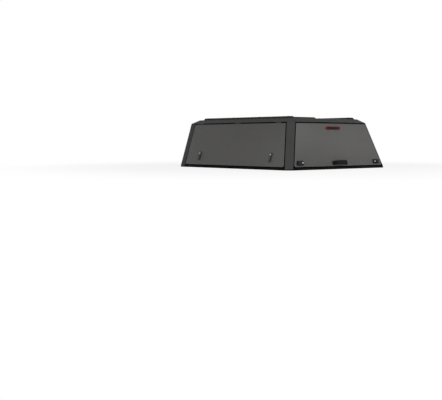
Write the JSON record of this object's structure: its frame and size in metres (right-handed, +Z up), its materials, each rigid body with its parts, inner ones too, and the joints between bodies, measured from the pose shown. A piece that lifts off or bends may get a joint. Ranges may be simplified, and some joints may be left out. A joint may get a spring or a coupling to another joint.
{
  "type": "pickup truck canopy",
  "caption": "Faceted sheet-metal canopy for a pickup bed, with lift-up side and rear doors, paddle latches, a pull handle and roof rails.",
  "frame": {"origin": "centre of the footprint, on the underside of the base seal", "axes": "+X to the vehicle's right, +Y towards the cab, +Z up"},
  "size_m": [1.718, 1.9557, 0.619],
  "materials": {
    "door_paint": "satin dark grey powder coat",
    "frame_paint": "matt charcoal powder coat",
    "inner_paint": "matt black primer",
    "black_trim": "black moulded plastic",
    "seal_rubber": "black foam rubber",
    "red_lens": "clear red lens",
    "window_glass": "dark tinted glass",
    "lock_steel": "bare steel key faces, screws and hinge pins"
  },
  "bodies": {
    "canopy": {"base_seal": "seal_rubber", "rear_sill": "inner_paint", "front_base_rail": "inner_paint", "left_base_rail": "inner_paint", "right_base_rail": "inner_paint", "left_rear_post": "frame_paint", "right_rear_post": "frame_paint", "left_front_post": "frame_paint", "right_front_post": "frame_paint", "front_panel": "frame_paint", "front_window": "window_glass", "front_window_gasket": "seal_rubber", "roof_panel": "frame_paint", "left_roof_rail": "frame_paint", "right_roof_rail": "frame_paint", "roof_bow_1": "inner_paint", "roof_bow_2": "inner_paint", "left_hinge_rail": "inner_paint", "right_hinge_rail": "inner_paint", "rear_hinge_rail": "inner_paint", "left_door_frame": "inner_paint", "right_door_frame": "inner_paint", "rear_door_frame": "inner_paint", "left_door_seal": "seal_rubber", "right_door_seal": "seal_rubber", "rear_door_seal": "seal_rubber"},
    "left_door": {"left_door_skin": "door_paint", "left_door_inner": "inner_paint", "left_door_front_latch_plate": "black_trim", "left_door_rear_latch_plate": "black_trim"},
    "right_door": {"right_door_skin": "door_paint", "right_door_inner": "inner_paint", "right_door_front_latch_plate": "black_trim", "right_door_rear_latch_plate": "black_trim"},
    "rear_door": {"rear_door_skin": "door_paint", "rear_door_inner": "inner_paint", "rear_door_left_latch_plate": "black_trim", "rear_door_right_latch_plate": "black_trim", "rear_pull_handle": "black_trim", "brake_light_rim": "red_lens", "brake_light_lens": "red_lens"},
    "left_front_lever": {"left_door_front_latch_lever": "black_trim"},
    "left_rear_lever": {"left_door_rear_latch_lever": "black_trim"},
    "right_front_lever": {"right_door_front_latch_lever": "black_trim"},
    "right_rear_lever": {"right_door_rear_latch_lever": "black_trim"},
    "rear_left_lever": {"rear_door_left_latch_lever": "black_trim"},
    "rear_right_lever": {"rear_door_right_latch_lever": "black_trim"}
  },
  "joints": [
    {"name": "left_door_hinge", "type": "hinge", "parent": "canopy", "child": "left_door", "pos_m": [-0.68265, 0, 0.536], "axis": [0, 1, 0], "range_deg": [0, 80]},
    {"name": "right_door_hinge", "type": "hinge", "parent": "canopy", "child": "right_door", "pos_m": [0.68265, 0, 0.536], "axis": [0, -1, 0], "range_deg": [0, 80]},
    {"name": "rear_door_hinge", "type": "hinge", "parent": "canopy", "child": "rear_door", "pos_m": [0, -0.80272, 0.536], "axis": [-1, 0, 0], "range_deg": [0, 84]},
    {"name": "left_front_latch", "type": "hinge", "parent": "left_door", "child": "left_front_lever", "pos_m": [-0.82346, 0.63595, 0.1546], "axis": [0, 1, 0], "range_deg": [0, 35]},
    {"name": "left_rear_latch", "type": "hinge", "parent": "left_door", "child": "left_rear_lever", "pos_m": [-0.82346, -0.61609, 0.1546], "axis": [0, 1, 0], "range_deg": [0, 35]},
    {"name": "right_front_latch", "type": "hinge", "parent": "right_door", "child": "right_front_lever", "pos_m": [0.82346, 0.63595, 0.1546], "axis": [0, -1, 0], "range_deg": [0, 35]},
    {"name": "right_rear_latch", "type": "hinge", "parent": "right_door", "child": "right_rear_lever", "pos_m": [0.82346, -0.61609, 0.1546], "axis": [0, -1, 0], "range_deg": [0, 35]},
    {"name": "rear_left_latch", "type": "hinge", "parent": "rear_door", "child": "rear_left_lever", "pos_m": [-0.67862, -0.93568, 0.09773], "axis": [-1, 0, 0], "range_deg": [0, 35]},
    {"name": "rear_right_latch", "type": "hinge", "parent": "rear_door", "child": "rear_right_lever", "pos_m": [0.67862, -0.93568, 0.09773], "axis": [-1, 0, 0], "range_deg": [0, 35]}
  ]
}
